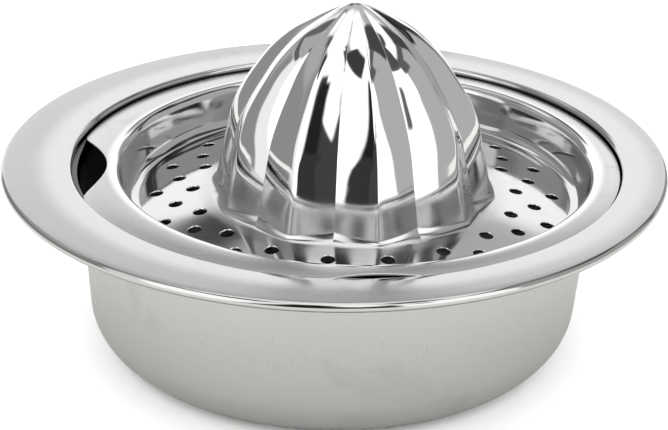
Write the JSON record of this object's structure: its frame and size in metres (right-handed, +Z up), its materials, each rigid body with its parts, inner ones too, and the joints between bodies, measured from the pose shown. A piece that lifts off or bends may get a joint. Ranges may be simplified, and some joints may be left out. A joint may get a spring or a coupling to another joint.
{
  "type": "citrus juicer",
  "caption": "Hand citrus juicer of pressed steel: a ribbed reamer in a strainer insert that lifts out of a deep flanged bowl.",
  "frame": {"origin": "centre of the bowl's flat base, on the surface that it stands on", "axes": "+Z up along the bowl's and the reamer's axes, -Y towards the front as pictured, +X to the side that the seat and the reamer are set towards"},
  "size_m": [0.16, 0.16, 0.0859],
  "materials": {
    "bowl_steel": "satin stainless steel, fine brushing round the body",
    "insert_steel": "mirror-polished stainless steel, satin on the rim"
  },
  "bodies": {
    "bowl": {"juice_bowl": "bowl_steel"},
    "insert": {"reamer_insert": "insert_steel"}
  },
  "joints": [
    {"name": "insert_lift", "type": "slide", "parent": "bowl", "child": "insert", "axis": [0, 0, 1], "range_m": [0, 0.06]}
  ]
}
